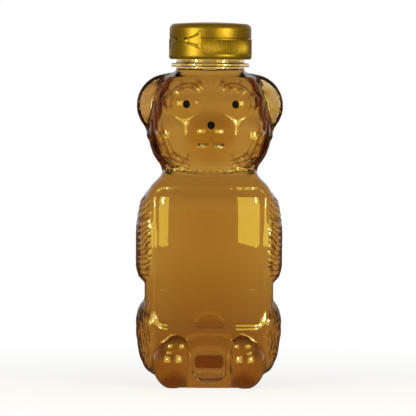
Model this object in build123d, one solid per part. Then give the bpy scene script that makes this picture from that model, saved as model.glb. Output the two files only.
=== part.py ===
from build123d import *
import os

# Honey bear bottle: a blow-moulded bear of clear plastic, full of honey, with a
# screw closure whose lid flips open on a butterfly hinge.
# Millimetres. +Z is up, the bear faces -Y, and Z = 0 is the plane it stands on.
# Everything is drawn about the axis of the neck, and shifted along Y at the end
# so that the origin lies under the middle of the whole object.

# Bottle wall and honey
wall = 0.7
honey_gap = 0.05
honey_level = 159.2
overrun = 5.0

# Torso: crowned rectangles from the foot up to the crease under the chin
torso_height = 111.0
torso_width = 64.2
torso_depth = 48.0
torso_corner = 10.0
torso_crown = 5.2
torso_side_crown = 0.9
hip_shares = [  # height, width, depth
    (0.000, 0.52, 0.62),
    (0.022, 0.72, 0.80),
    (0.060, 0.87, 0.91),
    (0.115, 0.96, 0.97),
    (0.175, 0.995, 0.995),
    (0.215, 1.00, 1.00),
    (0.245, 1.00, 1.00),
]
shoulder_shares = [  # height, width, depth
    (0.780, 1.00, 1.00),
    (0.805, 1.00, 1.00),
    (0.860, 0.985, 0.985),
    (0.905, 0.91, 0.91),
    (0.945, 0.77, 0.80),
    (0.975, 0.71, 0.735),
    (1.000, 0.66, 0.69),
]

# Label panels, one in front and one behind
panel_width = 55.5
panel_bottom = 28.2
panel_top = 99.2
panel_corner = 5.5
panel_recess = 0.6

# Head: ellipses from under the chin to the flat crown
head_bottom = 105.0
head_height = 51.2
head_width = 62.4
head_depth = 46.0
head_shares = [  # height, width, depth
    (0.000, 0.71, 0.74),
    (0.065, 0.755, 0.785),
    (0.155, 0.83, 0.87),
    (0.245, 0.925, 0.945),
    (0.405, 1.00, 1.00),
    (0.560, 0.955, 0.99),
    (0.720, 0.885, 0.955),
    (0.880, 0.81, 0.89),
    (0.965, 0.75, 0.83),
    (1.000, 0.64, 0.72),
]

# Ears, each a thick lens with a cup pressed into its front
ear_reach = 36.6
ear_radius_x = 15.5
ear_radius_y = 6.5
ear_radius_z = 15.6
ear_height = 140.6
ear_setback = 1.0
ear_rim = 1.8
ear_cup_front = 1.0
ear_cup_depth = 4.4

# Face
eye_spread = 12.2
eye_height = 141.2
eyeball_radius = 6.2
eyeball_depth = 5.2
eyeball_front = 22.1
pupil_diameter = 3.7
brow_height = 148.2
brow_spread = 12.6
brow_radius_x = 9.5
brow_radius_y = 4.6
brow_radius_z = 2.8
brow_front = 20.7
brow_tilt = 16.0
muzzle_height = 126.6
muzzle_radius_x = 9.6
muzzle_radius_y = 9.0
muzzle_radius_z = 8.0
muzzle_front = 28.6
chin_height = 118.8
chin_radius_x = 8.2
chin_radius_y = 6.0
chin_radius_z = 4.6
chin_front = 25.2
cheek_spread = 20.2
cheek_height = 124.8
cheek_radius_x = 9.6
cheek_radius_y = 6.6
cheek_radius_z = 10.0
cheek_front = 21.3
nose_height = 130.4
nose_diameter = 4.0
paint = 0.15

# Arms, hanging down the sides
arm_reach = 36.8
arm_radius_x = 9.8
arm_radius_y = 18.0
arm_shoulder = 76.0
arm_shoulder_rise = 23.5
arm_wrist = 61.6
arm_wrist_drop = 11.5

# Haunches, at the sides of the hips
haunch_reach = 36.15
haunch_radius_x = 10.15
haunch_radius_y = 19.0
haunch_height = 31.5
haunch_rise = 14.5
haunch_drop = 26.0

# Feet, with a round pad on the sole of each
foot_spread = 17.9
foot_front = 28.8
foot_radius_x = 10.2
foot_radius_y = 14.0
foot_radius_z = 13.2
foot_height = 12.7
pad_spread = 16.5
pad_height = 20.2
pad_radius = 6.0
pad_radius_y = 4.0
pad_front = 28.0

# The arched recess between the feet, in two steps, and the push-up under the base
porch_width = 20.6
porch_height = 25.6
porch_front = 22.2
slot_width = 17.6
slot_height = 19.6
slot_front = 17.6
push_up_radius = 11.5
push_up_rise = 3.0

# Neck finish
neck_diameter = 34.0
neck_bore = 30.0
neck_flare = 1.5
ring_bottom = 159.7
ring_diameter = 39.0
ring_thickness = 1.9
ring_edge = 0.5
lip_height = 171.6

# Closure: a screw base with a spout, a gasket ring and a flip lid
seal_gap = 0.1
gasket_thickness = 0.8
gasket_bore = 29.6
gasket_diameter = 35.4
closure_diameter = 41.4
closure_bore = 37.4
skirt_bottom = 163.5
skirt_rim_height = 1.8
skirt_rim_depth = 1.1
deck_thickness = 1.15
seat_diameter = 37.6
seat_rise = 0.85
seat_wall = 1.5
plug_ring_diameter = 29.0
plug_ring_wall = 1.0
plug_ring_drop = 2.2
spout_foot_diameter = 12.4
spout_tip_diameter = 8.4
spout_rise = 3.0
orifice_diameter = 5.0

# Lid
lid_gap = 0.2
lid_diameter = 40.9
lid_wall = 1.5
lid_top = 182.0
lid_corner = 2.8
lid_crown = 0.75
lid_roof = 1.3
pin_diameter = 4.2
pin_tip_diameter = 3.6
pin_bore = 2.0
pin_depth = 1.4
thumb_width = 12.0
thumb_reach = 1.2
thumb_thickness = 1.6

# Butterfly hinge, on the front left of the closure
hinge_azimuth = 48.5
hinge_height = 172.1
hinge_half_width = 2.9
hinge_standoff = 0.1
strap_thickness = 0.8
strap_gap = 0.2
strap_root = 3.75
strap_root_height = 173.6
strap_end = 11.3
strap_end_top = 177.6
strap_end_bottom = 168.6

# Places that follow from the sizes above
deck_underside = lip_height + seal_gap + gasket_thickness + seal_gap
deck_top = deck_underside + deck_thickness
closure_radius = closure_diameter / 2
lid_radius = lid_diameter / 2
lid_bottom = deck_top + lid_gap
back_reach = torso_depth / 2
front_reach = max(foot_front, muzzle_front)
middle_shift = (front_reach - back_reach) / 2
strap_radius = lid_radius - strap_thickness
saddle_radius = strap_radius - strap_gap


def crowned_section(half_width, half_depth, corner, crown, side_crown, height):
    """A rectangle with bowed sides and round corners, on a level plane."""
    x = half_width - side_crown
    y = half_depth - crown
    outline = [
        ThreePointArc((-x, -y), (0, -half_depth), (x, -y)),
        ThreePointArc((x, -y), (half_width, 0), (x, y)),
        ThreePointArc((x, y), (0, half_depth), (-x, y)),
        ThreePointArc((-x, y), (-half_width, 0), (-x, -y)),
    ]
    face = make_face(outline)
    return Pos(0, 0, height) * fillet(face.vertices(), corner)


def torso_section(row_shares, inset):
    """One level section of the torso, from its row of shares."""
    height_share, width_share, depth_share = row_shares
    height = min(max(height_share * torso_height, inset), torso_height - inset)
    size_share = min(width_share, depth_share)
    return crowned_section(
        width_share * torso_width / 2 - inset,
        depth_share * torso_depth / 2 - inset,
        size_share * torso_corner,
        size_share * torso_crown,
        size_share * torso_side_crown,
        height,
    )


def torso_blank(inset):
    """The torso before its panels are pressed in, drawn in by the inset all over."""
    hips = loft([torso_section(row, inset) for row in hip_shares])
    shoulders = loft([torso_section(row, inset) for row in shoulder_shares])
    waist_length = (shoulder_shares[0][0] - hip_shares[-1][0]) * torso_height
    waist = extrude(torso_section(hip_shares[-1], inset), amount=waist_length)
    return hips + waist + shoulders


def torso(inset):
    """The torso, with the two label panels pressed in."""
    height = panel_top - panel_bottom + 2 * inset
    outline = RectangleRounded(panel_width + 2 * inset, height, panel_corner + inset)
    frame = extrude(Plane.XZ * outline, amount=torso_depth, both=True)
    frame = Pos(0, 0, (panel_top + panel_bottom) / 2) * frame
    return torso_blank(inset) - (frame - torso_blank(inset + panel_recess))


def head(inset):
    """The skull, without ears or face."""
    sections = []
    for height_share, width_share, depth_share in head_shares:
        height = min(max(height_share * head_height, inset), head_height - inset)
        half_width = width_share * head_width / 2 - inset
        half_depth = depth_share * head_depth / 2 - inset
        sections.append(Pos(0, 0, head_bottom + height) * Ellipse(half_width, half_depth))
    return loft(sections)


def pod(radius_x, radius_y, drop, rise, straight=0.0):
    """A round body: two half ellipsoids on one level rim, with a straight length between."""
    profile = [
        EllipticalCenterArc((0, 0), radius_x, drop, start_angle=270, arc_size=90),
        EllipticalCenterArc((0, straight), radius_x, rise, start_angle=0, arc_size=90),
        Line((0, straight + rise), (0, -drop)),
    ]
    if straight > 0:
        profile.append(Line((radius_x, 0), (radius_x, straight)))
    solid = revolve(Plane.XZ * make_face(profile), Axis.Z)
    return scale(solid, (1, radius_y / radius_x, 1))


def both_sides(solid):
    """The solid and its mirror image across the bear's middle."""
    return [solid, mirror(solid, Plane.YZ)]


def ear(inset):
    """The ear on +X: a lens less its cup, so the rim stands round a hollow."""
    middle_x = ear_reach - ear_radius_x
    lens = pod(ear_radius_x - inset, ear_radius_y - inset, ear_radius_z - inset, ear_radius_z - inset)
    cup_radius = ear_radius_x - ear_rim + inset
    cup_depth = ear_cup_depth + inset
    mouth = ear_radius_y + overrun
    profile = [
        EllipticalCenterArc((0, 0), cup_radius, cup_depth, start_angle=0, arc_size=90),
        Polyline((0, cup_depth), (0, -mouth), (cup_radius, -mouth), (cup_radius, 0)),
    ]
    cup = revolve(make_face(profile), Axis.Y)
    lens = Pos(middle_x, ear_setback, ear_height) * lens
    return lens - Pos(middle_x, ear_setback - ear_cup_front, ear_height) * cup


def lump(spread, front, height, radius_x, radius_y, radius_z, inset, tilt=0.0):
    """An ellipsoid whose foremost point lies at -front."""
    solid = pod(radius_x - inset, radius_y - inset, radius_z - inset, radius_z - inset)
    return Pos(spread, radius_y - front, height) * Rot(0, tilt, 0) * solid


def muzzle(inset):
    return lump(
        0, muzzle_front, muzzle_height, muzzle_radius_x, muzzle_radius_y, muzzle_radius_z, inset
    )


def eyeball(inset):
    return lump(
        eye_spread, eyeball_front, eye_height, eyeball_radius, eyeball_depth, eyeball_radius, inset
    )


def face_lumps(inset):
    """What stands out from the skull: muzzle, chin, cheeks, eyeballs and brows."""
    chin = lump(0, chin_front, chin_height, chin_radius_x, chin_radius_y, chin_radius_z, inset)
    cheek = lump(
        cheek_spread, cheek_front, cheek_height, cheek_radius_x, cheek_radius_y, cheek_radius_z, inset
    )
    brow = lump(
        brow_spread,
        brow_front,
        brow_height,
        brow_radius_x,
        brow_radius_y,
        brow_radius_z,
        inset,
        brow_tilt,
    )
    lumps = [muzzle(inset), chin]
    for side in (cheek, eyeball(inset), brow):
        lumps += both_sides(side)
    return lumps


def arm(inset):
    """The arm on +X, a long pod sunk into the side of the torso."""
    solid = pod(
        arm_radius_x - inset,
        arm_radius_y - inset,
        arm_wrist_drop - inset,
        arm_shoulder_rise - inset,
        arm_shoulder - arm_wrist,
    )
    return Pos(arm_reach - arm_radius_x, 0, arm_wrist) * solid


def haunch(inset):
    """The haunch on +X."""
    solid = pod(
        haunch_radius_x - inset, haunch_radius_y - inset, haunch_drop - inset, haunch_rise - inset
    )
    return Pos(haunch_reach - haunch_radius_x, 0, haunch_height) * solid


def foot(inset):
    """The foot on +X, cut flat where it stands, with the pad on its sole."""
    toe = lump(
        foot_spread, foot_front, foot_height, foot_radius_x, foot_radius_y, foot_radius_z, inset
    )
    pad = lump(pad_spread, pad_front, pad_height, pad_radius, pad_radius_y, pad_radius, inset)
    cut = split(toe, Plane.XY.offset(inset), keep=Keep.TOP)
    return [cut, pad]


def arch(width, height, front, inset):
    """An arched recess in the front of the base, as the solid to be cut away."""
    radius = width / 2 + inset
    straight = height - width / 2
    opening = Pos(0, (straight - overrun) / 2) * Rectangle(2 * radius, straight + overrun)
    opening += Pos(0, straight) * Circle(radius)
    face = Plane.XZ.offset(front - inset) * opening
    return extrude(face, amount=torso_depth)


def recess(inset):
    """The shallow porch between the feet and the deeper slot within it."""
    porch = arch(porch_width, porch_height, porch_front, inset)
    return porch + arch(slot_width, slot_height, slot_front, inset)


def push_up(inset):
    """The dimple under the base, a cap of a ball."""
    ball = (push_up_radius**2 + push_up_rise**2) / (2 * push_up_rise)
    return Pos(0, 0, push_up_rise - ball) * Sphere(ball + inset)


def bear(inset):
    """The whole bear below the neck, drawn in by the inset all over."""
    body = torso(inset)
    lumps = [head(inset)]
    for side in (ear(inset), arm(inset), haunch(inset)):
        lumps += both_sides(side)
    lumps += face_lumps(inset)
    body = body.fuse(*lumps)
    body -= recess(inset)
    feet = []
    for side in foot(inset):
        feet += both_sides(side)
    body = body.fuse(*feet)
    return body - push_up(inset)


def neck():
    """The neck and its support ring, as one turned solid."""
    radius = neck_diameter / 2
    crown = head_bottom + head_height
    ring_top = ring_bottom + ring_thickness
    ring_radius = ring_diameter / 2
    outline = Polyline(
        (0, crown - overrun),
        (radius + neck_flare, crown - overrun),
        (radius + neck_flare, crown),
        (radius, crown + neck_flare),
        (radius, ring_bottom),
        (ring_radius - ring_edge, ring_bottom),
        (ring_radius, ring_bottom + ring_edge),
        (ring_radius, ring_top - ring_edge),
        (ring_radius - ring_edge, ring_top),
        (radius, ring_top),
        (radius, lip_height),
        (0, lip_height),
        close=True,
    )
    return revolve(Plane.XZ * make_face(outline), Axis.Z)


def tube(outer_diameter, inner_diameter, bottom, top):
    """A plain ring or, with no bore, a plain disc."""
    ring = Circle(outer_diameter / 2)
    if inner_diameter > 0:
        ring -= Circle(inner_diameter / 2)
    return Pos(0, 0, bottom) * extrude(ring, amount=top - bottom)


def bore(diameter, top):
    """The inside of the neck, from within the head up to the given height."""
    return tube(diameter, 0, head_bottom + head_height / 2, top)


def bottle():
    """The blown shell: the bear and its neck, less the same bear drawn in by the wall."""
    outer = bear(0) + neck()
    inner = bear(wall) + bore(neck_bore, lip_height + overrun)
    return outer - inner


def honey():
    """The fill, up to just under the support ring."""
    gap = wall + honey_gap
    return bear(gap) + bore(neck_bore - 2 * honey_gap, honey_level)


def painted_spot(form, spread, height, diameter, behind):
    """A dot of paint on the form, where a rod that starts behind its front comes out."""
    skin = form(-paint) - form(0)
    start = Plane.XZ.offset(behind)
    rod = extrude(start * Pos(spread, height) * Circle(diameter / 2), amount=torso_depth)
    return skin & rod


def gasket():
    """The sealing ring between the lip of the neck and the deck of the closure."""
    bottom = lip_height + seal_gap
    return tube(gasket_diameter, gasket_bore, bottom, bottom + gasket_thickness)


def at_hinge(shape):
    """Turns what is drawn at the front, facing -Y, to the hinge's own azimuth."""
    return Rot(0, 0, -hinge_azimuth) * shape


def strap_outline(margin):
    """The right wing of the bow tie, seen from outside, grown by the margin."""
    corners = [
        (strap_root, strap_root_height),
        (strap_end, strap_end_top),
        (strap_end, strap_end_bottom),
        (hinge_half_width, hinge_height),
    ]
    wing = make_face(Polyline(*corners, close=True))
    if margin > 0:
        wing = offset(wing, amount=margin, kind=Kind.INTERSECTION)
    return wing


def curved_plate(outline, inner_radius, outer_radius):
    """The part of a round wall that lies behind an outline drawn at the hinge."""
    block = extrude(Plane.XZ * outline, amount=closure_diameter)
    middle = (strap_end_top + strap_end_bottom) / 2
    rise = strap_end_top - strap_end_bottom
    band = tube(2 * outer_radius, 2 * inner_radius, middle - rise, middle + rise)
    return at_hinge(block & band)


def saddle_outline():
    """The arched dip in the skirt's rim that the hinge lies in."""
    top = strap_end_top + overrun
    floor = hinge_height - lid_gap
    end = strap_end + strap_gap
    low = strap_end_bottom - strap_gap
    outline = Polyline(
        (-end, top),
        (-end, low),
        (-hinge_half_width, floor),
        (hinge_half_width, floor),
        (end, low),
        (end, top),
        close=True,
    )
    return make_face(outline)


def spout():
    """The nozzle that stands on the deck, with its orifice still closed."""
    bottom = deck_top
    top = deck_top + seat_rise + spout_rise
    outline = Polyline(
        (0, bottom),
        (spout_foot_diameter / 2, bottom),
        (spout_foot_diameter / 2, deck_top + seat_rise),
        (spout_tip_diameter / 2, top),
        (0, top),
        close=True,
    )
    return revolve(Plane.XZ * make_face(outline), Axis.Z)


def skirt_profile():
    """Half the section of the skirt and deck, with the skirt's foot rounded under."""
    foot = closure_radius - skirt_rim_depth
    rim_top = skirt_bottom + skirt_rim_height
    outline = [
        Line((closure_bore / 2, skirt_bottom), (foot, skirt_bottom)),
        EllipticalCenterArc(
            (foot, rim_top), skirt_rim_depth, skirt_rim_height, start_angle=270, arc_size=90
        ),
        Polyline(
            (closure_radius, rim_top),
            (closure_radius, deck_top),
            (0, deck_top),
            (0, deck_underside),
            (closure_bore / 2, deck_underside),
            (closure_bore / 2, skirt_bottom),
        ),
    ]
    return make_face(outline)


def screw_cap():
    """The base: skirt, deck, seat for the lid, spout and the ring that plugs the neck."""
    shell = revolve(Plane.XZ * skirt_profile(), Axis.Z)
    spout_top = deck_top + seat_rise + spout_rise
    seat = tube(seat_diameter, seat_diameter - 2 * seat_wall, deck_top, deck_top + seat_rise)
    plug_bottom = deck_underside - plug_ring_drop
    plug_bore = plug_ring_diameter - 2 * plug_ring_wall
    plug = tube(plug_ring_diameter, plug_bore, plug_bottom, deck_underside)
    body = shell + seat + plug + spout()
    body -= tube(orifice_diameter, 0, plug_bottom, spout_top + overrun)
    return body - curved_plate(saddle_outline(), saddle_radius, closure_radius + overrun)


def lid_profile():
    """Half the section of the lid's shell: a crowned roof with a rolled edge, and the wall."""
    inner = lid_radius - lid_wall
    shoulder = lid_top - lid_crown
    roof = lid_top - lid_roof
    outline = [
        ThreePointArc(
            (0, lid_top),
            ((lid_radius - lid_corner) / 2, lid_top - lid_crown / 4),
            (lid_radius - lid_corner, shoulder),
        ),
        RadiusArc(
            (lid_radius - lid_corner, shoulder), (lid_radius, shoulder - lid_corner), lid_corner
        ),
        Polyline(
            (lid_radius, shoulder - lid_corner),
            (lid_radius, lid_bottom),
            (inner, lid_bottom),
            (inner, roof - lid_corner),
            (inner - lid_corner / 2, roof - lid_crown),
            (0, roof - lid_crown),
            (0, lid_top),
        ),
    ]
    return make_face(outline)


def sealing_pin():
    """The hollow taper under the roof that shuts the orifice."""
    roof = lid_top - lid_roof - lid_crown
    pin_end = deck_top + seat_rise + spout_rise - pin_depth
    base_up = (Align.CENTER, Align.CENTER, Align.MIN)
    pin = Cone(pin_tip_diameter / 2, pin_diameter / 2, roof - pin_end, align=base_up)
    return Pos(0, 0, pin_end) * pin - tube(pin_bore, 0, pin_end, roof)


def thumb_lip():
    """The ledge that a thumb lifts, across from the hinge."""
    top = lid_bottom + thumb_thickness
    ring = tube(lid_diameter + 2 * thumb_reach, lid_diameter - lid_wall, lid_bottom, top)
    window = Box(thumb_width, closure_radius, closure_radius)
    return at_hinge(ring & Pos(0, closure_radius, top) * window)


def hinge_tab():
    """The tongue of the lid's wall that reaches down to the hinge line."""
    low = hinge_height + hinge_standoff
    high = lid_bottom + lid_corner
    width = 2 * (hinge_half_width - strap_gap)
    outline = Pos(0, (low + high) / 2) * Rectangle(width, high - low)
    return curved_plate(outline, strap_radius, lid_radius)


def flip_lid():
    """The lid, notched for the wings of the hinge."""
    body = revolve(Plane.XZ * lid_profile(), Axis.Z) + sealing_pin() + thumb_lip()
    window = strap_outline(strap_gap)
    for wing in (window, mirror(window, Plane.YZ)):
        body -= curved_plate(wing, lid_radius - 2 * lid_wall, lid_radius + overrun)
    return body + hinge_tab()


def hinge_straps():
    """Both wings of the bow tie, thin plates bent round the closure."""
    wing = strap_outline(0)
    right = curved_plate(wing, strap_radius, lid_radius)
    left = curved_plate(mirror(wing, Plane.YZ), strap_radius, lid_radius)
    return left, right


def write(node, shape):
    """Shifts a piece to the part's own origin and writes its STEP file."""
    placed = Pos(0, middle_shift, 0) * shape
    export_step(placed, f"parts/{node}.step")
    print(node, len(placed.solids()), round(placed.volume, 1))


def main():
    os.makedirs("parts", exist_ok=True)
    write("bottle", bottle())
    write("honey", honey())
    write("gasket", gasket())
    write("screw_cap", screw_cap())
    write("flip_lid", flip_lid())
    left_strap, right_strap = hinge_straps()
    write("hinge_strap_left", left_strap)
    write("hinge_strap_right", right_strap)
    behind = eyeball_front - eyeball_depth
    pupil = painted_spot(eyeball, eye_spread, eye_height, pupil_diameter, behind)
    write("eye_left", mirror(pupil, Plane.YZ))
    write("eye_right", pupil)
    behind = muzzle_front - muzzle_radius_y
    write("nose", painted_spot(muzzle, 0, nose_height, nose_diameter, behind))


main()
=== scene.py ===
# %% [markdown]
# # A honey bear bottle
#
# A clear plastic bear, blown in a mould, filled with honey and shut with a gold screw
# cap whose lid flips up on a butterfly hinge. The frame holds every piece at its real
# size, and this script dresses it. Lengths are in metres and +Z is up. The bear looks
# towards -Y, with its left ear on +X as we see it.

# %% Load the frame
import math

import bmesh
import bpy
import numpy as np
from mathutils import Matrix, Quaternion, Vector


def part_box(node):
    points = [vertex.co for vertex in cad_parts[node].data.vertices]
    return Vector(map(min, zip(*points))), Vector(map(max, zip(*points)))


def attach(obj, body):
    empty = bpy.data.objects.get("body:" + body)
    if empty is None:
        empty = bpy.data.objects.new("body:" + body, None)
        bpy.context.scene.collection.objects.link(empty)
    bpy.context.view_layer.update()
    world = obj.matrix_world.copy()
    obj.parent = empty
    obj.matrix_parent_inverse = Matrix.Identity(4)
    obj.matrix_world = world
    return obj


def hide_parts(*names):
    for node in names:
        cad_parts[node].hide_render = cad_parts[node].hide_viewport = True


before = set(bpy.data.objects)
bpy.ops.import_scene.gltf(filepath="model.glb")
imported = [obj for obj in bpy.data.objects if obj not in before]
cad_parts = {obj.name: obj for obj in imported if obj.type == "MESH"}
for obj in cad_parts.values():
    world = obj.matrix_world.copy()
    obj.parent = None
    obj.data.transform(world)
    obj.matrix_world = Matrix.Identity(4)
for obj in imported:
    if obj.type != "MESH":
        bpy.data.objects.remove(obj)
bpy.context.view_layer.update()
print("nodes in the frame:", ", ".join(sorted(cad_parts)))

# %% [markdown]
# ## The camera
#
# The picture was taken from about two metres away, level with the ring on the neck:
# the ring shows as a straight line, while the feet reach a little below the edge of the
# base between them. The face looks a degree or so past the camera, and the picture has
# a slight roll. A long lens keeps that distance and frames the bottle.

# %% Place the camera
MM = 0.001
camera_distance = 2000 * MM
camera_height = 158 * MM
camera_swing = math.radians(1.3)
view_side = 208.0 * MM
view_middle = Vector((-0.7 * MM, 0, 89.2 * MM))
camera_roll = math.radians(0.4)


def make_camera():
    """A long lens that looks at the middle of the view, with the picture's slight roll."""
    lens = bpy.data.cameras.new("camera")
    lens.clip_end = 10
    camera = bpy.data.objects.new("camera", lens)
    bpy.context.scene.collection.objects.link(camera)
    aside = camera_distance * math.sin(camera_swing)
    camera.location = (view_middle.x - aside, -camera_distance, camera_height)
    sight = view_middle - camera.location
    roll = Quaternion((0, 0, 1), camera_roll)
    camera.rotation_mode = "QUATERNION"
    camera.rotation_quaternion = sight.to_track_quat("-Z", "Y") @ roll
    lens.lens = lens.sensor_width * sight.length / view_side
    bpy.context.scene.camera = camera
    return camera


camera = make_camera()
print("lens", round(camera.data.lens), "mm")

# %% [markdown]
# ## Numbers as shader sockets
#
# A finish is a sum of small effects: a stain here, a rub there. Wrapping a socket in a
# class lets those sums be written as ordinary Python, so `1 - mask` adds the node that
# works it out. Every other node comes from one method of the finish.

# %% Shader arithmetic


class Signal:
    """A socket that can be added, scaled and compared like a number."""

    def __init__(self, tree, socket):
        self.tree = tree
        self.socket = socket

    def maths(self, operation, *others):
        step = self.tree.nodes.new("ShaderNodeMath")
        step.operation = operation
        for entry, value in zip(step.inputs, others):
            feed(self.tree, entry, value)
        return Signal(self.tree, step.outputs[0])

    def __add__(self, other):
        return self.maths("ADD", self, other)

    def __radd__(self, other):
        return self.maths("ADD", other, self)

    def __sub__(self, other):
        return self.maths("SUBTRACT", self, other)

    def __rsub__(self, other):
        return self.maths("SUBTRACT", other, self)

    def __mul__(self, other):
        return self.maths("MULTIPLY", self, other)

    def __rmul__(self, other):
        return self.maths("MULTIPLY", other, self)


def feed(tree, entry, value):
    """Links a signal to a socket, or sets the socket to a plain value."""
    if isinstance(value, Signal):
        tree.links.new(value.socket, entry)
    elif isinstance(value, tuple) and len(value) == 3 and entry.type == "RGBA":
        entry.default_value = (*value, 1)
    else:
        entry.default_value = value


class Finish:
    """A node tree under construction, with one method that adds any node."""

    def __init__(self, tree):
        self.tree = tree
        tree.nodes.clear()

    def node(self, kind, settings, sockets, output=0):
        """Adds a node, sets it up, feeds its sockets and returns one of its outputs."""
        step = self.tree.nodes.new("ShaderNode" + kind)
        for name, value in settings.items():
            if name == "stops":
                self.set_stops(step.color_ramp, value)
            else:
                setattr(step, name, value)
        for name, value in sockets.items():
            feed(self.tree, step.inputs[name], value)
        return Signal(self.tree, step.outputs[output])

    def set_stops(self, ramp, stops):
        """Gives a colour ramp its (place, colour) stops."""
        while len(ramp.elements) < len(stops):
            ramp.elements.new(1.0)
        for element, (place, colour) in zip(ramp.elements, stops):
            element.position = place
            element.color = (*colour, 1)

    def place(self):
        """Where a point of the piece is, in metres."""
        return self.node("TexCoord", {}, {}, "Object")

    def height(self):
        return self.node("SeparateXYZ", {}, {"Vector": self.place()}, "Z")

    def noise(self, scale, detail=3.0, output="Fac"):
        """Soft random patches, about one over the scale metres wide."""
        sockets = {"Vector": self.place(), "Scale": scale, "Detail": detail}
        return self.node("TexNoise", {}, sockets, output)

    def spread(self, value, low, high, to_low=0.0, to_high=1.0):
        """Stretches a signal from low..high to another range, and clamps it there."""
        sockets = {
            "Value": value,
            "From Min": low,
            "From Max": high,
            "To Min": to_low,
            "To Max": to_high,
        }
        return self.node("MapRange", {"clamp": True}, sockets)

    def blend(self, share, first, second):
        """A colour between two colours."""
        sockets = {"Factor": share, 6: first, 7: second}
        return self.node("Mix", {"data_type": "RGBA"}, sockets, 2)

    def bump(self, height, depth, strength=1.0):
        """A normal that makes the height look raised by up to depth metres."""
        sockets = {"Height": height, "Distance": depth, "Strength": strength}
        return self.node("Bump", {}, sockets)

    def surface(self, shader, volume=None):
        """Ends the tree with its output."""
        sockets = {"Surface": shader}
        if volume is not None:
            sockets["Volume"] = volume
        self.node_out(sockets)

    def node_out(self, sockets):
        out = self.tree.nodes.new("ShaderNodeOutputMaterial")
        for name, value in sockets.items():
            feed(self.tree, out.inputs[name], value)


def new_finish(name):
    material = bpy.data.materials.new(name)
    material.use_nodes = True
    return material, Finish(material.node_tree)


# %% [markdown]
# ## Light
#
# Honey is lit from behind: what we see in it is the pale backdrop seen through it. Two
# wide softboxes with warm bulbs, one each side of the camera, draw the bright bands
# down the cap and the patches at the corners of the label panel. Each has a small bare
# bulb in front, which makes the white cores of the highlights on the eyes and cheeks.
# The softboxes are deep yellow. That colours the gloss and the gold, so to see these
# finishes under plain light, make `soft_colour` white.

# %% Hang the softboxes
soft_colour = (1.0, 0.80, 0.09)
bulb_colour = (1.0, 0.93, 0.62)
softboxes = {
    # name: azimuth from straight ahead, distance, width, height, middle height, power, colour
    "softbox_left": (-46, 620 * MM, 500 * MM, 300 * MM, 195 * MM, 2.6, soft_colour),
    "softbox_right": (40, 620 * MM, 500 * MM, 300 * MM, 195 * MM, 3.0, soft_colour),
    "bulb_left": (-50, 600 * MM, 70 * MM, 110 * MM, 200 * MM, 1.0, bulb_colour),
    "bulb_right": (44, 600 * MM, 70 * MM, 110 * MM, 200 * MM, 1.0, bulb_colour),
}


def hang_softbox(name, azimuth, distance, width, height, middle, power, colour):
    """A rectangle of light that faces the bottle."""
    lamp = bpy.data.lights.new(name, "AREA")
    lamp.shape = "RECTANGLE"
    lamp.size = width
    lamp.size_y = height
    lamp.energy = power
    lamp.color = colour
    box = bpy.data.objects.new(name, lamp)
    bpy.context.scene.collection.objects.link(box)
    turn = math.radians(azimuth)
    box.location = (distance * math.sin(turn), -distance * math.cos(turn), middle)
    aim = view_middle - box.location
    aim.z = 0
    box.rotation_mode = "QUATERNION"
    box.rotation_quaternion = aim.to_track_quat("-Z", "Y")
    box.visible_transmission = False
    return box


for name, facts in softboxes.items():
    hang_softbox(name, *facts)
print("softboxes:", len(softboxes))

# %% [markdown]
# ## The room
#
# The backdrop is white, and as wide as the camera sees. To what bounces off the bottle
# or passes through it, it ends a little way out and the rest of the room is dim, so
# the rim of the clear plastic and the flanks of the honey turn dark, as they do in a
# studio. That dim part is tinted brown, which warms what gloss and honey show.

# %% Paint the room
room_light = 0.35
backdrop_white = (1.0, 1.0, 1.0)
seen_in_gloss = (
    (0.0, (0.30, 0.25, 0.16)),
    (0.55, (0.24, 0.15, 0.08)),
    (0.80, (0.34, 0.21, 0.11)),
    (0.95, (0.75, 0.74, 0.70)),
)
seen_through = ((0.0, (0.66, 0.45, 0.27)), (0.60, (0.74, 0.56, 0.38)), (0.84, (1.0, 1.0, 1.0)))
# To glossy rays the floor glows dim brown. To rays through the honey it glows as painted shade, dark brown
# near the bottle and fading to white far off.
floor_in_gloss = (0.10, 0.08, 0.04)
floor_behind = (  # share of 1.5 m from the bottle, colour
    (0.00, (0.16, 0.09, 0.05)),
    (0.02, (0.22, 0.14, 0.08)),
    (0.07, (0.76, 0.72, 0.66)),
    (0.90, (1.0, 1.0, 1.0)),
)


def paint_room():
    """World light: plain for surfaces, white for the camera, and dim at the sides of glass."""
    world = bpy.data.worlds.new("room")
    bpy.context.scene.world = world
    world.use_nodes = True
    finish = Finish(world.node_tree)
    way = finish.node("TexCoord", {}, {}, "Generated")
    depth = finish.node("SeparateXYZ", {}, {"Vector": way}, "Y")
    ahead = finish.spread(depth, -1, 1)
    gloss_colour = finish.node("ValToRGB", {"stops": seen_in_gloss}, {"Fac": ahead})
    through_colour = finish.node("ValToRGB", {"stops": seen_through}, {"Fac": ahead})
    straight = finish.node("LightPath", {}, {}, "Is Camera Ray")
    glossy = finish.node("LightPath", {}, {}, "Is Glossy Ray")
    through = finish.node("LightPath", {}, {}, "Is Transmission Ray")
    plain = finish.node("Background", {}, {"Color": backdrop_white, "Strength": room_light})
    mirrored = finish.node("Background", {}, {"Color": gloss_colour, "Strength": 1.0})
    passed = finish.node("Background", {}, {"Color": through_colour, "Strength": 1.0})
    white = finish.node("Background", {}, {"Color": backdrop_white, "Strength": 1.0})
    shade = finish.node("MixShader", {}, {0: glossy, 1: plain, 2: mirrored})
    shade = finish.node("MixShader", {}, {0: through, 1: shade, 2: passed})
    shade = finish.node("MixShader", {}, {0: straight, 1: shade, 2: white})
    out = finish.tree.nodes.new("ShaderNodeOutputWorld")
    feed(finish.tree, out.inputs["Surface"], shade)


paint_room()

# %% Lay the floor
floor_radius = 4.5
floor_fade = (0.06, 0.30)


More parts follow.
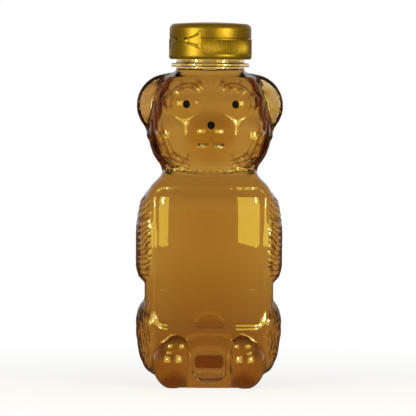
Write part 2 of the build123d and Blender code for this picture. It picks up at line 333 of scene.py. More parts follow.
def lay_floor():
    """A pale floor that keeps the bottle's shadow and fades into the backdrop."""
    bpy.ops.mesh.primitive_circle_add(vertices=96, radius=floor_radius, fill_type="NGON")
    floor = bpy.context.object
    floor.name = "floor"
    material, finish = new_finish("floor_paint")
    through = finish.node("LightPath", {}, {}, "Is Transmission Ray")
    straight = finish.node("LightPath", {}, {}, "Is Camera Ray")
    glossy = finish.node("LightPath", {}, {}, "Is Glossy Ray")
    distance = finish.node("VectorMath", {"operation": "LENGTH"}, {0: finish.place()}, 1)
    grain = finish.spread(finish.noise(30), 0.3, 0.7, 0.97, 1.0)
    paint = finish.blend(grain, (0.86, 0.86, 0.86), (0.90, 0.90, 0.90))
    matt = finish.node("BsdfDiffuse", {}, {"Color": paint})
    glow = finish.node("Emission", {}, {"Color": backdrop_white, "Strength": 1.0})
    # Painted shade: rays through the honey see the floor glow dark near the bottle.
    mirrored = finish.node("Emission", {}, {"Color": floor_in_gloss, "Strength": 1.0})
    share = finish.spread(distance, 0, 1.5)
    behind = finish.node("ValToRGB", {"stops": floor_behind}, {"Fac": share})
    away = finish.node("Emission", {}, {"Color": behind, "Strength": 1.0})
    far = finish.spread(distance, *floor_fade)
    near = finish.node("MixShader", {}, {0: straight * (0.8 + 0.2 * far), 1: matt, 2: glow})
    near = finish.node("MixShader", {}, {0: glossy, 1: near, 2: mirrored})
    finish.surface(finish.node("MixShader", {}, {0: through, 1: near, 2: away}))
    floor.data.materials.append(material)


lay_floor()
scene = bpy.context.scene
scene.view_settings.view_transform = "Standard"
scene.cycles.max_bounces = 48
scene.cycles.transmission_bounces = 48
scene.cycles.glossy_bounces = 12
scene.cycles.transparent_max_bounces = 24
print("floor and room done")

# %% [markdown]
# ## The shape of the bear as a field
#
# A blown bottle has no hard joins: cheeks, arms and feet melt into one skin. That is
# hard to get from separate solids, and easy from a field: a function that tells, for
# any point, how far it is from the surface, less than zero inside. Two fields join
# with a fillet by taking a soft minimum. All of this is in millimetres from the axis of
# the neck, and `side` is the distance left or right of the middle, so that both halves
# come out alike.

# %% Tools for fields
cad_low, cad_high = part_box("bottle")
gasket_low, gasket_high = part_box("gasket")
axis_y = (gasket_low.y + gasket_high.y) / 2
print("neck axis at y =", round(axis_y / MM, 2), "mm")


def melt(a, b, reach):
    """Joins two fields with a fillet about as wide as the reach."""
    share = np.clip(0.5 + 0.5 * (b - a) / reach, 0, 1)
    return b + (a - b) * share - reach * share * (1 - share)


def carve(a, b, reach):
    """The first field less the second, with a rounded edge."""
    return -melt(-a, b, reach)


def ramp(value, low, high):
    """0 below low, 1 above high and a smooth step between."""
    t = np.clip((value - low) / (high - low), 0, 1)
    return t * t * (3 - 2 * t)


def egg(x, y, z, radius_x, radius_y, radius_z):
    """Distance to an ellipsoid round the origin, near enough close to its surface."""
    near = np.sqrt((x / radius_x) ** 2 + (y / radius_y) ** 2 + (z / radius_z) ** 2)
    steep = np.sqrt(
        (x / radius_x**2) ** 2 + (y / radius_y**2) ** 2 + (z / radius_z**2) ** 2
    )
    return near * (near - 1) / np.maximum(steep, 1e-6)


def pod(x, y, z, radius_x, radius_y, drop, rise, straight=0.0):
    """An egg with its own radius below and above, and a straight length between."""
    above = z > straight
    level = np.where(above, z - straight, np.minimum(z, 0))
    low = egg(x, y, level, radius_x, radius_y, drop)
    high = egg(x, y, level, radius_x, radius_y, rise)
    return np.where(above, high, low)


class Profile:
    """How a size changes with height: a few chosen rows, softened where they meet."""

    def __init__(self, rows, column, softness):
        shares = np.array(rows, float)
        self.fine = np.linspace(0, 1, 401)
        straight = np.interp(self.fine, shares[:, 0], shares[:, column])
        window = np.hanning(2 * softness + 3)
        padded = np.pad(straight, softness + 1, mode="edge")
        self.soft = np.convolve(padded, window / window.sum(), "valid")
        self.slope = np.gradient(self.soft, self.fine)

    def at(self, share):
        return np.interp(share, self.fine, self.soft)

    def slope_at(self, share):
        return np.interp(share, self.fine, self.slope)


# %% [markdown]
# ## Torso and skull
#
# The torso is a crowned rectangle in plan that swells and narrows with height, and the
# skull is an ellipse that does the same. The rows of shares are read off the outline
# of the bottle. The label panel is a shallow step pressed into the front and the back.

# %% Torso and skull
torso_height = 111.0
torso_width = 64.2
torso_depth = 48.0
torso_corner = 10.0
torso_crown = 5.2
torso_side_crown = 0.9
torso_shares = [  # height, width, depth
    (0.000, 0.52, 0.62),
    (0.022, 0.72, 0.80),
    (0.060, 0.87, 0.91),
    (0.115, 0.96, 0.97),
    (0.175, 0.995, 0.995),
    (0.215, 1.00, 1.00),
    (0.805, 1.00, 1.00),
    (0.860, 0.985, 0.985),
    (0.905, 0.91, 0.91),
    (0.945, 0.77, 0.80),
    (0.975, 0.71, 0.735),
    (1.000, 0.66, 0.69),
]
torso_widths = Profile(torso_shares, 1, 6)
torso_depths = Profile(torso_shares, 2, 6)

panel_half_width = 27.75
panel_bottom = 29.8
panel_top = 99.9
panel_corner = 5.5
panel_recess = 0.6

head_bottom = 105.0
head_height = 51.2
head_width = 62.4
head_depth = 46.0
head_shares = [  # height, width, depth
    (0.000, 0.71, 0.74),
    (0.065, 0.755, 0.785),
    (0.155, 0.83, 0.87),
    (0.245, 0.925, 0.945),
    (0.405, 1.00, 1.00),
    (0.560, 0.955, 0.99),
    (0.720, 0.885, 0.955),
    (0.880, 0.81, 0.89),
    (0.965, 0.75, 0.83),
    (1.000, 0.64, 0.72),
]
head_widths = Profile(head_shares, 1, 9)
head_depths = Profile(head_shares, 2, 9)


def rounded_box(x, y, half_x, half_y, corner):
    """Distance to a rectangle with round corners, in the plane."""
    over_x = np.abs(x) - half_x + corner
    over_y = np.abs(y) - half_y + corner
    outside = np.hypot(np.maximum(over_x, 0), np.maximum(over_y, 0))
    return outside + np.minimum(np.maximum(over_x, over_y), 0) - corner


def panel(side, z):
    """1 on the label panel, 0 off it. Its lower border is a broad slope."""
    middle = (panel_top + panel_bottom) / 2
    half_height = (panel_top - panel_bottom) / 2
    edge = rounded_box(side, z - middle, panel_half_width, half_height, panel_corner)
    slope = 0.65 + 1.6 * ramp(middle - z, half_height - 6, half_height)
    return 1 - ramp(edge, -slope, 0.3)


def torso_field(side, y, z):
    share = z / torso_height
    wide = torso_widths.at(share)
    deep = torso_depths.at(share)
    half_width = wide * torso_width / 2
    half_depth = deep * torso_depth / 2
    scale = np.minimum(wide, deep)
    bow_y = torso_crown * scale * (side / half_width) ** 2
    bow_x = torso_side_crown * scale * (y / half_depth) ** 2
    reach_x = side + bow_x
    reach_y = np.abs(y) + bow_y
    edge = rounded_box(reach_x, reach_y, half_width, half_depth, scale * torso_corner)
    lean = torso_widths.slope_at(share) * torso_width / 2 / torso_height
    edge = edge / np.sqrt(1 + lean**2)
    edge = edge + panel_recess * panel(side, z) * (np.abs(y) > half_depth / 2)
    return np.maximum(edge, z - torso_height)


def skull_field(side, y, z):
    share = (z - head_bottom) / head_height
    radius_x = head_widths.at(share) * head_width / 2
    radius_y = head_depths.at(share) * head_depth / 2
    lean = head_widths.slope_at(share) * head_width / 2 / head_height
    ring = egg(side, y, 0 * z, radius_x, radius_y, 1.0) / np.sqrt(1 + lean**2)
    crown = z - head_bottom - head_height
    chin = head_bottom - z
    return carve(np.maximum(ring, chin), -crown, 2.0)


# %% [markdown]
# ## Ears, face, arms, haunches and feet
#
# Each is one or two eggs. The ears are lenses with a dish pressed into the front; the
# eyes sit on round mounds; the muzzle and lip stand forward of the cheeks.

# %% Ears, face and limbs
ear_reach = 36.6
ear_radius = 15.6
ear_half_depth = 6.5
ear_height = 140.6
ear_setback = 1.0
ear_rim = 1.8
ear_cup_front = 1.0
ear_cup_depth = 4.4

lumps = {
    # name: spread, front, height, radius x, y, z, tilt in degrees, fillet
    "muzzle": (0.0, 28.6, 127.4, 10.8, 8.8, 8.0, 0.0, 3.6),
    "chin": (0.0, 23.8, 118.8, 8.2, 6.0, 4.6, 0.0, 4.0),
    "cheek": (18.2, 21.8, 125.4, 8.0, 6.8, 9.0, 0.0, 2.6),
    "eyeball": (11.4, 22.6, 141.2, 8.2, 6.2, 7.6, 0.0, 2.6),
    "brow": (10.8, 20.9, 148.4, 8.2, 4.6, 2.8, 16.0, 2.5),
}

arm_reach = 36.8
arm_radius_x = 9.8
arm_radius_y = 18.0
arm_shoulder = 76.0
arm_shoulder_rise = 23.5
arm_wrist = 61.6
arm_wrist_drop = 11.5

haunch_reach = 36.15
haunch_radius_x = 10.15
haunch_radius_y = 19.0
haunch_height = 31.5
haunch_rise = 14.5
haunch_drop = 26.0

foot_spread = 17.9
foot_front = 28.8
foot_radius_x = 10.2
foot_radius_y = 14.0
foot_radius_z = 13.2
foot_height = 12.7
pad_spread = 16.5
pad_height = 20.2
pad_radius = 6.0
pad_radius_y = 4.0
pad_front = 28.0

porch_width = 20.6
porch_height = 26.6
porch_front = 22.6
porch_corner = 2.0
slot_width = 16.6
slot_height = 20.6
slot_front = 17.6
slot_corner = 5.5
slot_foot = 4.0
push_up_radius = 11.5
push_up_rise = 3.0


def ear_field(side, y, z):
    x = side - (ear_reach - ear_radius)
    lift = z - ear_height
    lens = egg(x, y - ear_setback, lift, ear_radius, ear_half_depth, ear_radius)
    cup_radius = ear_radius - ear_rim
    behind = np.maximum(y - ear_setback + ear_cup_front, 0)
    cup = egg(x, behind, lift, cup_radius, ear_cup_depth, cup_radius)
    return carve(lens, cup, 0.7)


def lump_field(side, y, z, spread, front, height, radius_x, radius_y, radius_z, tilt):
    """An egg whose foremost point lies at -front, tilted in the plane of the face."""
    turn = math.radians(tilt)
    across = side - spread
    lift = z - height
    x = across * math.cos(turn) - lift * math.sin(turn)
    up = across * math.sin(turn) + lift * math.cos(turn)
    return egg(x, y + front - radius_y, up, radius_x, radius_y, radius_z)


def arm_field(side, y, z):
    x = side - (arm_reach - arm_radius_x)
    straight = arm_shoulder - arm_wrist
    return pod(
        x,
        y,
        z - arm_wrist,
        arm_radius_x,
        arm_radius_y,
        arm_wrist_drop,
        arm_shoulder_rise,
        straight,
    )


def haunch_field(side, y, z):
    x = side - (haunch_reach - haunch_radius_x)
    lift = z - haunch_height
    return pod(x, y, lift, haunch_radius_x, haunch_radius_y, haunch_drop, haunch_rise)


def arch_field(side, y, z, width, height, front, corner):
    """A recess with round upper corners in the front of the base."""
    opening = rounded_box(side, z, width / 2, height, corner)
    return np.maximum(opening, y + front)


def recess_field(side, y, z):
    """The shallow porch between the feet and the deeper slot within it."""
    porch = arch_field(side, y, z, porch_width, porch_height, porch_front, porch_corner)
    middle, half_height = (slot_height + slot_foot) / 2, (slot_height - slot_foot) / 2
    slot = arch_field(side, y, z - middle, slot_width, half_height, slot_front, slot_corner)
    return melt(porch, slot, 1.0)


def base_field(side, y, z):
    """The floor that the bottle stands on, with the dimple pushed up into the base."""
    ball = (push_up_radius**2 + push_up_rise**2) / (2 * push_up_rise)
    dimple = np.sqrt(side**2 + y**2 + (z - push_up_rise + ball) ** 2) - ball
    return np.maximum(-z, -dimple)


def bear_field(x, y, z):
    """The whole bear below the neck, before any fur."""
    side = np.abs(x)
    body = carve(torso_field(side, y, z), recess_field(side, y, z), 1.0)
    body = melt(body, haunch_field(side, y, z), 1.2)
    body = melt(body, arm_field(side, y, z), 1.0)
    foot = egg(
        side - foot_spread,
        y + foot_front - foot_radius_y,
        z - foot_height,
        foot_radius_x,
        foot_radius_y,
        foot_radius_z,
    )
    pad = egg(
        side - pad_spread,
        y + pad_front - pad_radius_y,
        z - pad_height,
        pad_radius,
        pad_radius_y,
        pad_radius,
    )
    body = melt(body, melt(foot, pad, 0.7), 1.4)
    top = melt(skull_field(side, y, z), ear_field(side, y, z), 2.4)
    for spread, front, height, radius_x, radius_y, radius_z, tilt, fillet in lumps.values():
        lump = lump_field(
            side, y, z, spread, front, height, radius_x, radius_y, radius_z, tilt
        )
        top = melt(top, lump, fillet)
    body = melt(body, top, 2.4)
    return np.maximum(body, base_field(side, y, z))


# %% [markdown]
# ## Fur
#
# The mould is carved with fur: short locks laid like bricks down the arms, long fine
# ones on the haunches, and wisps that run round the eyes and follow the cheeks. A lock
# is a lens-shaped ridge. All of it is added to the field as a height, so it is real
# relief that bends the light, and a slow wobble keeps the rows from looking ruled.

# %% Carve the fur
lock_length = 5.6
lock_width = 2.9
arm_fur_height = 0.62
haunch_fur_height = 0.6
fur_sink = 0.25
wisp_height = 0.5
wisp_width = 2.5


def scramble(row, seed):
    """A repeatable random number from 0 to 1 for each whole number."""
    value = np.sin(row * 12.9898 + seed * 78.233) * 43758.5453
    return value - np.floor(value)


def wobble(a, b, seed):
    """Slow waves from -1 to 1 that never quite repeat."""
    first = np.sin(a * 0.41 + 1.7 * np.sin(b * 0.29 + seed))
    second = np.sin(b * 0.47 + 1.3 * np.sin(a * 0.33 + 2 * seed))
    return 0.5 * first + 0.5 * second


def locks(along, across, length, width, seed):
    """Lens-shaped ridges in rows, each row shifted: 0 in the grooves and 1 on top."""
    row = np.floor(across / width)
    step = along / length + scramble(row, seed)
    share = step - np.floor(step)
    hump = np.cos(np.pi * (across / width - row - 0.5))
    return hump * np.sin(np.pi * share) ** 0.5


def arm_fur(side, y, z):
    """Locks that slope down and out, from the shoulder to the paw."""
    on_arm = ramp(side, 29.3, 30.3) * ramp(z, 53, 55.5) * (1 - ramp(z, 94, 99))
    around = np.hypot(side - 27, y)
    slope = 0.55 - 1.0 * ramp(63 - z, -6, 8)
    along = side + 0.5 * np.abs(y) + 0.8 * wobble(z, side, 1.0)
    across = z + slope * (side - 31) - 0.25 * np.abs(y) + 0.7 * wobble(side + y, z, 2.0)
    smooth_strip = 1 - 0.75 * ramp(side, 34.6, 36.0)
    return arm_fur_height, on_arm * smooth_strip, locks(along, across, lock_length, lock_width, 3.0)


def haunch_fur(side, y, z):
    """Longer, finer locks that hang down the haunch and curl under."""
    on_haunch = ramp(side, 28.6, 30.2) * ramp(z, 5, 9) * (1 - ramp(z, 40, 44.5))
    lean = 0.25 * (z - 25)
    along = z + 1.5 * wobble(y, z, 4.0)
    across = side * 0.9 + y * 0.75 + lean + 0.9 * wobble(z, y, 5.0)
    return haunch_fur_height, on_haunch, locks(along, across, 9.5, 2.5, 6.0)


def head_fur(side, y, z):
    """Wisps round each eye, over the temple and down the outside of the cheek."""
    front = 1 - ramp(y, 2, 8)
    wave = 1.1 * wobble(side, z, 7.0)
    eye = np.hypot(side - 12.2, (z - 141.2) * 0.92)
    turn = np.arctan2(z - 141.2, side - 12.2)
    outer = 1 - ramp(np.abs(turn - 1.0), 1.1, 1.5)
    near_eye = outer * ramp(eye, 6.6, 7.6) * (1 - ramp(eye, 16, 18))
    swirl = locks(turn * 13, eye + wave, 9.0, wisp_width, 8.0)
    face = np.hypot(side * 0.97, z - 131)
    angle = np.arctan2(z - 131, side)
    low = ramp(-angle, -0.25, 0.1) * (1 - ramp(-angle, 1.15, 1.4))
    near_edge = low * ramp(face, 20.5, 22)
    streak = locks(angle * 24, face + wave, 12.0, wisp_width, 9.0)
    on_head = ramp(z, 111, 113) * (1 - ramp(z, 152, 155)) * front
    both = near_eye + near_edge * (1 - near_eye)
    lock = (near_eye * swirl + near_edge * (1 - near_eye) * streak) / np.maximum(both, 0.01)
    return wisp_height, on_head * both, lock


def chin_fur(side, y, z):
    """Short tufts under the cheeks, each side of the chin."""
    spot = ramp(side, 9, 11) * (1 - ramp(side, 22, 25)) * ramp(z, 108, 109.5) * (1 - ramp(z, 115, 118))
    tuft = locks(side + 0.6 * z, z - 0.3 * side + wobble(side, z, 3.0), 5.0, 2.4, 11.0)
    return wisp_height, spot * (y < 0), tuft


# %% [markdown]
# ## Smaller marks of the mould
#
# A raised ring round each eye, the line of the mouth, a half-round ledge at the foot of
# the panel, ribs in the slot, the seam line across the waist of the panel and a row of
# short dashes in the crease of the neck.

# %% Cut the smaller marks
mouth_height = 121.0
eye_ring = 9.4


def face_marks(side, y, z):
    front = y < -8
    ring = np.hypot(side - 12.4, (z - 141.6) * 1.02) - eye_ring
    rim = 0.10 * np.exp(-((ring / 1.3) ** 2)) * (1 - ramp(side, 17, 21))
    curve = mouth_height + 0.06 * (side - 4) ** 2
    lip = -0.7 * np.exp(-(((z - curve) / 0.7) ** 2)) * ramp(side, 0.6, 2.2) * (1 - ramp(side, 6, 7.6))
    split = -0.3 * np.exp(-((side / 0.8) ** 2)) * ramp(z, 121.5, 123.5) * (1 - ramp(z, 126.5, 128))
    return front * (rim + lip + split)


def panel_marks(side, y, z):
    front = (y < -12) * (side < 27)
    disc = np.hypot(side, z - 30.4) - 7.6
    ledge = -0.25 * (1 - ramp(disc, -0.6, 0.4)) * ramp(z, 30.2, 31.2)
    seam = 0.05 * np.exp(-(((z - 48.4) / 0.45) ** 2)) * ramp(side, 8, 20)
    return front * (ledge + seam)


def base_marks(side, y, z):
    in_slot = (y < -10) * (1 - ramp(side, 5.8, 6.8)) * ramp(z, 5.4, 6.2) * (1 - ramp(z, 8.6, 9.4))
    ribs = 0.45 * in_slot * (0.5 + 0.5 * np.cos(side * 2 * np.pi / 2.6))
    dash = 0.5 + 0.5 * np.sin(side * 1.9 + 2.0 * np.sin(side * 0.37))
    crease = -0.3 * dash * np.exp(-(((z - 108.2) / 0.55) ** 2)) * (y < 0)
    return ribs + crease


def relief(side, y, z):
    """Every mark on the skin, as a height above it."""
    marks = face_marks(side, y, z) + panel_marks(side, y, z) + base_marks(side, y, z)
    for fur in (arm_fur, haunch_fur, head_fur, chin_fur):
        height, place, lock = fur(side, y, z)
        marks = marks + height * place * lock
    return marks


def painted_shade_share(side, y, z):
    """Painted shade from 0 to 1: down between the locks of fur, and in the mouth, the slot, the soles, the
    half disc on the panel and the crease of the neck.
    """
    fur_groove_shade = np.zeros_like(z)
    for fur in (arm_fur, haunch_fur, head_fur, chin_fur):
        height, place, lock = fur(side, y, z)
        fur_groove_shade = np.maximum(fur_groove_shade, place * np.clip(1.12 - 1.6 * lock, 0, 1))
    mouth = np.clip(-face_marks(side, y, z) / 0.7, 0, 1) * (z < 125)
    slot = (y > -19) * (y < -15) * (1 - ramp(rounded_box(side, z - 13.2, 7.7, 3.7, 2.6), -0.8, 0.2))
    low_slot = 0.4 * (y > -19) * (y < -15) * (side < 7.6) * ramp(z, 4.6, 5.4) * (1 - ramp(z, 9, 10))
    slot = np.maximum(slot, low_slot)
    sole = 0.95 * (y < -9) * ramp(side, 9.5, 12) * (1 - ramp(z + 0.08 * (side - 17) ** 2, 5, 12))
    disc = 0.22 * (y < -12) * (np.hypot(side, z - 30.4) < 7.4) * (z > 30.6)
    crease = 0.6 * (y < -5) * np.exp(-(((z - 108.3) / 0.6) ** 2)) * (0.5 + 0.5 * np.sin(side * 1.9 + 2))
    return np.maximum.reduce([fur_groove_shade, mouth, slot, sole, disc, crease])


def furred_field(x, y, z):
    """The bear with its fur. The fur stands a little below the CAD outline at its tips."""
    side = np.abs(x)
    bare = bear_field(x, y, z)
    near = np.abs(bare) < 2.5
    height = np.zeros_like(bare)
    height[near] = relief(side[near], y[near], z[near])
    sunk = fur_sink * ramp(side, 34.0, 36.2) * ramp(z, 5, 9) * (1 - ramp(z, 94, 99))
    return bare - height + sunk


# %% [markdown]
# ## From the field to a net of quads
#
# The field is sampled on a grid. Every cell that the surface crosses gets one point,
# and every grid edge that it crosses gets one quad, between the four cells around that
# edge. The points then slide down the slope of the field until they lie on it, and
# even out between slides, so that the net is smooth and regular.

# %% Cast a net over a field


def steepness(field, points, reach=0.06):
    """The field and its slope at each point."""
    x, y, z = points.T
    middle = field(x, y, z)
    slope = np.empty_like(points)
    for axis in range(3):
        step = np.zeros(3)
        step[axis] = reach
        ahead = field(x + step[0], y + step[1], z + step[2])
        behind = field(x - step[0], y - step[1], z - step[2])
        slope[:, axis] = (ahead - behind) / (2 * reach)
    return middle, slope


def slide(field, points, level, farthest):
    """Moves each point down the slope, on to the level of the field."""
    middle, slope = steepness(field, points)
    square = np.maximum((slope**2).sum(1), 0.05)
    move = slope * ((level - middle) / square)[:, None]
    length = np.sqrt((move**2).sum(1))
    move *= np.minimum(1, farthest / np.maximum(length, 1e-9))[:, None]
    return points + move


def even_out(points, faces, share):
    """Moves each point a share of the way to the middle of its neighbours."""
    ends = np.concatenate([faces[:, [0, 1]], faces[:, [1, 2]], faces[:, [2, 3]], faces[:, [3, 0]]])
    count = np.bincount(ends[:, 0], minlength=len(points)) + np.bincount(
        ends[:, 1], minlength=len(points)
    )
    middle = np.empty_like(points)
    for axis in range(3):
        middle[:, axis] = np.bincount(
            ends[:, 0], points[ends[:, 1], axis], len(points)
        ) + np.bincount(ends[:, 1], points[ends[:, 0], axis], len(points))
    middle /= count[:, None]
    return points + share * (middle - points)


def settle(inside):
    """Fills grid corners that touch only across a diagonal, so the net is one clean skin."""
    for turn in range(12):
        changed = 0
        for axis in range(3):
            grid = np.moveaxis(inside, axis, 0)
            a, b = grid[:, :-1, :-1], grid[:, 1:, :-1]
            c, d = grid[:, :-1, 1:], grid[:, 1:, 1:]
            crossed = (a == d) & (b == c) & (a != b)
            changed += crossed.sum()
            for part in (a, b, c, d):
                part |= crossed
        if changed == 0:
            break


def cast_net(field, low, high, step, level=0.0, rounds=4):
    """The points and quads of a net on one level of a field."""
    axes = [np.arange(a - 2 * step, b + 3 * step, step) for a, b in zip(low, high)]
    grid = np.meshgrid(*axes, indexing="ij")
    value = field(*(part.ravel() for part in grid)).reshape(grid[0].shape)
    inside = value < level
    settle(inside)
    count = np.zeros([n - 1 for n in inside.shape], int)
    for i in (0, 1):
        for j in (0, 1):
            for k in (0, 1):
                count += inside[i:, j:, k:][: count.shape[0], : count.shape[1], : count.shape[2]]
    crossed = (count > 0) & (count < 8)
    number = np.full(count.shape, -1)
    number[crossed] = np.arange(crossed.sum())
    cells = np.argwhere(crossed)
    points = np.stack([axes[i][cells[:, i]] + step / 2 for i in range(3)], 1)
    faces = []
    for axis in range(3):
        u, v = (axis + 1) % 3, (axis + 2) % 3
        here = np.moveaxis(inside, (axis, u, v), (0, 1, 2))
        cell = np.moveaxis(number, (axis, u, v), (0, 1, 2))
        for goes_out in (True, False):
            edge = (here[:-1] == goes_out) & (here[1:] != goes_out)
            a, b, c = np.argwhere(edge[:, 1:-1, 1:-1]).T
            quad = [cell[a, b, c], cell[a, b + 1, c], cell[a, b + 1, c + 1], cell[a, b, c + 1]]
            faces.append(np.stack(quad if goes_out else quad[::-1], 1))
    faces = np.concatenate(faces)
    for turn in range(rounds):
        points = slide(field, points, level, step)
        points = even_out(points, faces, 0.5)
    for turn in range(3):
        points = slide(field, points, level, step / 2)
    return points, faces


def make_piece(name, points, faces, smooth=True):
    """A mesh object from points in millimetres about the axis of the neck."""
    places = np.array(points, float) * MM
    places[:, 1] += axis_y
    mesh = bpy.data.meshes.new(name)
    mesh.from_pydata(places.tolist(), [], [list(map(int, face)) for face in faces])
    mesh.polygons.foreach_set("use_smooth", [smooth] * len(mesh.polygons))
    mesh.update()
    piece = bpy.data.objects.new(name, mesh)
    bpy.context.scene.collection.objects.link(piece)
    return piece


# %% [markdown]
# ## The neck
#
# The neck is not blown but moulded, so it is crisp and round: a cylinder with a
# support ring and a screw thread. It is turned on a lathe, which in a mesh is a
# profile swept round the axis, and joined to the bear with a boolean union.

# %% Turn the neck
neck_radius = 17.0
neck_bore_radius = 15.0
neck_foot = 140.0
neck_join = 158.9
ring_bottom = 159.7
ring_top = 161.6
ring_radius = 19.5
lip_height = 171.6
honey_level = 159.2
wall = 0.7
honey_gap = 0.05
lathe_steps = 240
thread_pitch = 4.2333
thread_start = 163.6
thread_turns = 1.35
thread_height = 1.15


def arc(centre_r, centre_z, radius, start, end, steps=6):
    """Points on a round stretch of a profile, with angles in degrees."""
    turns = np.radians(np.linspace(start, end, steps + 1))
    return [(centre_r + radius * math.cos(t), centre_z + radius * math.sin(t)) for t in turns]


def turned(name, profile, steps=lathe_steps, closed=False):
    """A profile of (radius, height) swept round the axis."""
    rows = np.array(profile + ([profile[0]] if closed else []), float)
    around = np.linspace(0, 2 * math.pi, steps, endpoint=False)
    points = np.stack(
        [
            np.outer(rows[:, 0], np.cos(around)),
            np.outer(rows[:, 0], np.sin(around)),
            np.outer(rows[:, 1], np.ones(steps)),
        ],
        -1,
    ).reshape(-1, 3)
    faces = []
    for i in range(len(rows) - 1):
        for j in range(steps):
            k = (j + 1) % steps
            faces.append((i * steps + j, i * steps + k, (i + 1) * steps + k, (i + 1) * steps + j))
    piece = make_piece(name, points, faces)
    work = bmesh.new()
    work.from_mesh(piece.data)
    bmesh.ops.remove_doubles(work, verts=work.verts, dist=1e-6)
    bmesh.ops.dissolve_degenerate(work, edges=work.edges, dist=1e-7)
    bmesh.ops.recalc_face_normals(work, faces=work.faces)
    work.to_mesh(piece.data)
    work.free()
    return piece


def helix_ridge(name, root, crest, start, turns, height, pitch, inward=False):
    """A screw thread: a rounded ridge that winds up the wall and fades at both ends."""
    steps = int(lathe_steps * turns)
    points, faces = [], []
    for i in range(steps + 1):
        share = i / steps
        grow = min(1.0, 12 * share, 12 * (1 - share))
        angle = 2 * math.pi * turns * share
        middle = start + pitch * turns * share
        depth = (crest - root) * grow
        for r, z in (
            (root - 0.3 * (crest - root), -0.55),
            (root, -0.5),
            (root + depth * 0.85, -0.28),
            (root + depth, -0.12),
            (root + depth, 0.12),
            (root + depth * 0.85, 0.28),
            (root, 0.5),
            (root - 0.3 * (crest - root), 0.55),
        ):
            points.append((r * math.cos(angle), r * math.sin(angle), middle + z * height))
    n = 8
    for i in range(steps):
        for j in range(n):
            k = (j + 1) % n
            faces.append((i * n + j, i * n + k, (i + 1) * n + k, (i + 1) * n + j))
    faces.append(tuple(range(n - 1, -1, -1)))
    faces.append(tuple(range(steps * n, steps * n + n)))
    piece = make_piece(name, points, faces)
    work = bmesh.new()
    work.from_mesh(piece.data)
    bmesh.ops.recalc_face_normals(work, faces=work.faces)
    work.to_mesh(piece.data)
    work.free()
    return piece


def combine(piece, other, operation):
    """Joins, cuts or keeps the overlap of two closed pieces, and drops the second."""
    before = len(piece.data.polygons)
    step = piece.modifiers.new("combine", "BOOLEAN")
    step.operation = operation
    step.object = other
    step.solver = "MANIFOLD"
    bpy.context.view_layer.objects.active = piece
    bpy.ops.object.modifier_apply(modifier=step.name)
    if len(piece.data.polygons) == before:
        raise RuntimeError(f"{other.name} left {piece.name} as it was")
    bpy.data.objects.remove(other)


def shade_by_angle(piece, angle):
    """Smooth shading, with the edges over the angle left crisp."""
    for other in bpy.context.selected_objects:
        other.select_set(False)
    piece.select_set(True)
    bpy.context.view_layer.objects.active = piece
    bpy.ops.object.shade_smooth_by_angle(angle=math.radians(angle))


neck_profile = [
    (0, 152),
    (neck_radius - 1, 152),
    (neck_radius - 1, neck_join),
    (neck_radius + 0.03, neck_join),
]
neck_profile += [(neck_radius + 0.03, ring_bottom)]
neck_profile += arc(ring_radius - 0.5, ring_bottom + 0.5, 0.5, -90, 0)
neck_profile += arc(ring_radius - 0.5, ring_top - 0.5, 0.5, 0, 90)
neck_profile += [(neck_radius + 0.4, ring_top)]
neck_profile += arc(neck_radius + 0.4, ring_top + 0.4, 0.4, -90, -180)
neck_profile += arc(neck_radius - 0.5, lip_height - 0.5, 0.5, 0, 90)
neck_profile += [(0, lip_height)]


def post_field(x, y, z, radius, top):
    """A round post that stands in the head."""
    ends = np.maximum(z - top, neck_foot - z)
    return np.maximum(np.hypot(x, y) - radius, ends)


def outer_field(x, y, z):
    return melt(furred_field(x, y, z), post_field(x, y, z, neck_radius, neck_join + 0.4), 3.0)


def inner_field(x, y, z):
    return melt(bear_field(x, y, z) + wall, post_field(x, y, z, neck_bore_radius, 158.0), 1.5)


# %% Cast the outer skin and the hollow
outer_step = 0.72
inner_step = 1.2
bear_low = (-36.8, -28.9, 0.0)
bear_high = (36.8, 24.1, 159.5)

outer_points, outer_faces = cast_net(outer_field, bear_low, bear_high, outer_step)
inner_points, inner_faces = cast_net(inner_field, bear_low, bear_high, inner_step)
outer_points[:, 2] = np.maximum(outer_points[:, 2], 0)
inner_points[:, 2] = np.maximum(inner_points[:, 2], wall)
print("outer net:", len(outer_points), "points; hollow:", len(inner_points), "points")

shell = make_piece("bear_shell", outer_points, outer_faces)
combine(shell, turned("neck", neck_profile), "UNION")
thread = helix_ridge(
    "thread", neck_radius, neck_radius + 1.2, thread_start, thread_turns, thread_height, thread_pitch
)
combine(shell, thread, "UNION")
hollow = make_piece("hollow", inner_points, inner_faces)
bore = turned(
    "bore",
    [
        (0, 157),
        (neck_bore_radius + 0.02, 157),
        (neck_bore_radius + 0.02, honey_level),
        (neck_bore_radius + 0.02, lip_height + 2),
        (0, lip_height + 2),
    ],
)
honey = make_piece("honey_fill", inner_points, inner_faces)
combine(hollow, bore, "UNION")
combine(shell, hollow, "DIFFERENCE")
shade_by_angle(shell, 50)

inward = np.zeros((len(honey.data.vertices), 3))
for vertex in honey.data.vertices:
    inward[vertex.index] = vertex.normal
for vertex, normal in zip(honey.data.vertices, inward):
    vertex.co -= Vector(normal) * honey_gap * MM
fill_neck = turned(
    "fill_neck",
    [
        (0, 157),
        (neck_bore_radius - honey_gap, 157),
        (neck_bore_radius - honey_gap, honey_level),
        (0, honey_level),
    ],
)
combine(honey, fill_neck, "UNION")
shade_by_angle(honey, 50)
print("shell:", len(shell.data.polygons), "faces; honey:", len(honey.data.polygons), "faces")

# %% [markdown]
# ## Clear plastic and honey
#
# The wall bends light once, on its outside. Where honey wets the inside of the wall the
# light goes on almost straight, so that face of the wall, and the honey itself, bend
# nothing: the honey only swallows light, more of it the further it has to go. Red
# passes best and blue worst, which is why thick honey looks brown and thin honey gold.
#
# Some of the shade is painted by place instead: painted shade in the fur grooves, the mouth,
# the slot, the soles, the creases, the ears and the lower end of the honey. Light alone doesn't give them
# here.

# %% Clear plastic and honey
plastic_index = 1.55
honey_density = 90.0
honey_colour = (0.776, 0.566, 0.012)


